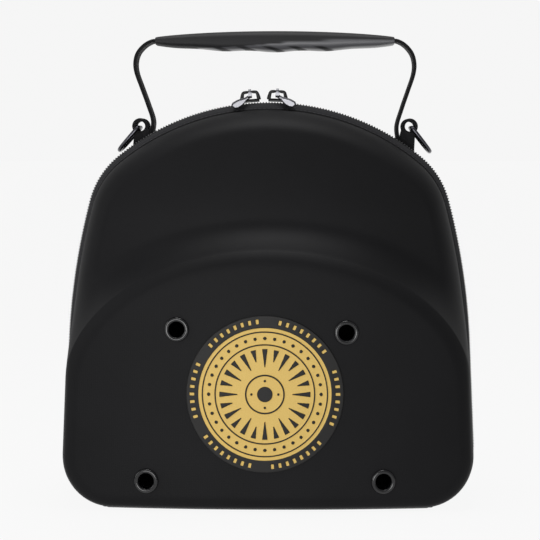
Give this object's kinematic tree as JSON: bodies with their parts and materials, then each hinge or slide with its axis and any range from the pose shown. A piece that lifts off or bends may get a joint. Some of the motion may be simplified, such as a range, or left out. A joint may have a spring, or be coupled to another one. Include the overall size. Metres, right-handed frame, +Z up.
{
  "type": "hard-shell carrier case for fitted caps",
  "caption": "Upright arch-topped hard-shell carrier case for fitted caps, crown-shaped front dome, two-way zip round the edge, webbing carry handle and D-rings.",
  "frame": {"origin": "bottom centre of the whole case's box, on the surface that it stands on", "axes": "+X to the right seen from the front, -Y towards the front, +Z up towards the handle"},
  "size_m": [0.3, 0.1515, 0.3386],
  "materials": {
    "shell_fabric": "black fine woven polyester laminated on moulded EVA foam, matt",
    "zip_tape": "black woven polyester zip tape, matt",
    "zip_coil": "black nylon coil, satin",
    "black_metal": "black painted zinc, semi-gloss",
    "gunmetal": "gunmetal-plated zinc and steel wire, satin",
    "grip_rubber": "black moulded rubber, matt above and glossy below",
    "webbing": "black woven polyester webbing, matt",
    "eyelet_plastic": "black painted rolled eyelet, glossy",
    "badge_rubber": "moulded soft rubber badge, gold field in a black rim, satin"
  },
  "bodies": {
    "case": {"front_shell": "shell_fabric", "back_shell": "shell_fabric", "zip_tape_front": "zip_tape", "zip_tape_back": "zip_tape", "zip_chain": "zip_coil", "hinge_strip": "zip_tape", "eyelet_upper_left": "eyelet_plastic", "eyelet_upper_right": "eyelet_plastic", "eyelet_lower_left": "eyelet_plastic", "eyelet_lower_right": "eyelet_plastic", "badge": "badge_rubber", "slider_left": "black_metal", "slider_right": "black_metal", "handle_grip": "grip_rubber", "webbing_left": "webbing", "webbing_right": "webbing"},
    "left_pull": {"pull_tab_left": "gunmetal"},
    "right_pull": {"pull_tab_right": "gunmetal"},
    "left_ring": {"d_ring_left": "gunmetal"},
    "right_ring": {"d_ring_right": "gunmetal"}
  },
  "joints": [
    {"name": "left_pull_swing", "type": "hinge", "parent": "case", "child": "left_pull", "pos_m": [-0.01403, 0.01375, 0.29336], "axis": [-0.997, 0, -0.0771], "range_deg": [0, 205]},
    {"name": "right_pull_swing", "type": "hinge", "parent": "case", "child": "right_pull", "pos_m": [0.00613, 0.01375, 0.2938], "axis": [-0.9994, 0, 0.0337], "range_deg": [0, 205]},
    {"name": "left_ring_swing", "type": "hinge", "parent": "case", "child": "left_ring", "pos_m": [-0.09637, 0.03725, 0.26797], "axis": [0, 1, 0], "range_deg": [0, 95]},
    {"name": "right_ring_swing", "type": "hinge", "parent": "case", "child": "right_ring", "pos_m": [0.10427, 0.03725, 0.26767], "axis": [0, -1, 0], "range_deg": [0, 95]}
  ]
}
